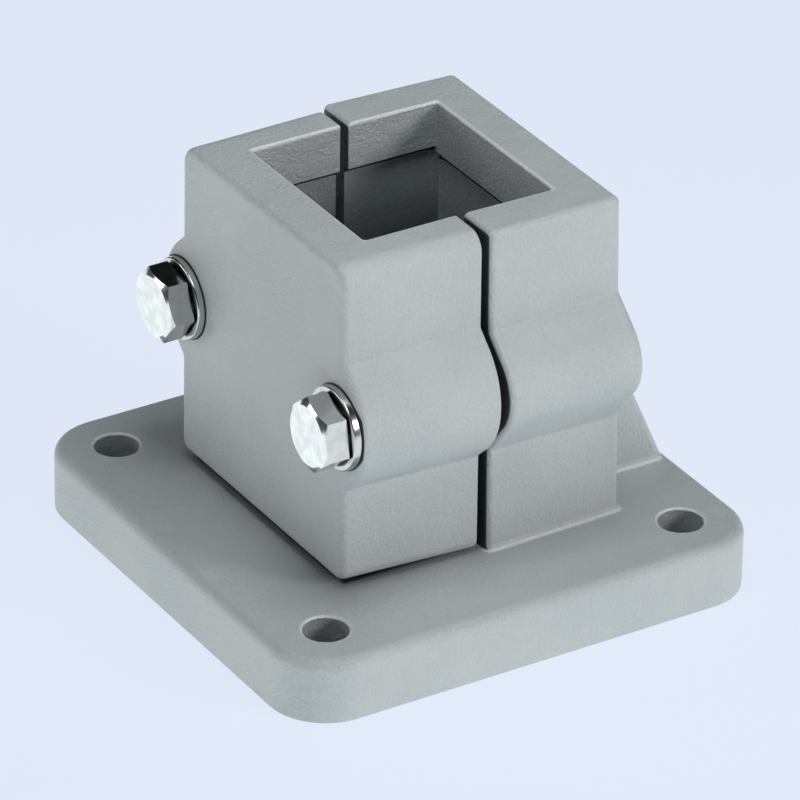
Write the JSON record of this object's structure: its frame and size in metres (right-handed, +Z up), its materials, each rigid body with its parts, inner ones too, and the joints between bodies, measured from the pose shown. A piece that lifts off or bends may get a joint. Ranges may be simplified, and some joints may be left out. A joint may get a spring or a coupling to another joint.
{
  "type": "tube clamp base flange",
  "caption": "Square foot plate with an upright split clamp block cast on it: a loose jaw, drawn in by hexagon bolts, grips a square tube standing in the block.",
  "frame": {"origin": "centre of the foot plate's underside, on the axis of the clamped tube", "axes": "+Z up along the tube, +X along the clamp bolts from their heads towards the ribs"},
  "size_m": [0.1, 0.1, 0.0788],
  "materials": {
    "casting": "matt tumbled casting",
    "jaw_casting": "matt tumbled casting",
    "bolt_steel": "bright stainless",
    "washer_steel": "bright stainless",
    "nut_steel": "bright stainless"
  },
  "bodies": {
    "root": {"base_flange": "casting", "clamp_jaw": "jaw_casting", "clamp_bolt_left": "bolt_steel", "clamp_bolt_right": "bolt_steel", "bolt_washer_left": "washer_steel", "bolt_washer_right": "washer_steel", "clamp_nut_left": "nut_steel", "clamp_nut_right": "nut_steel"}
  },
  "joints": []
}
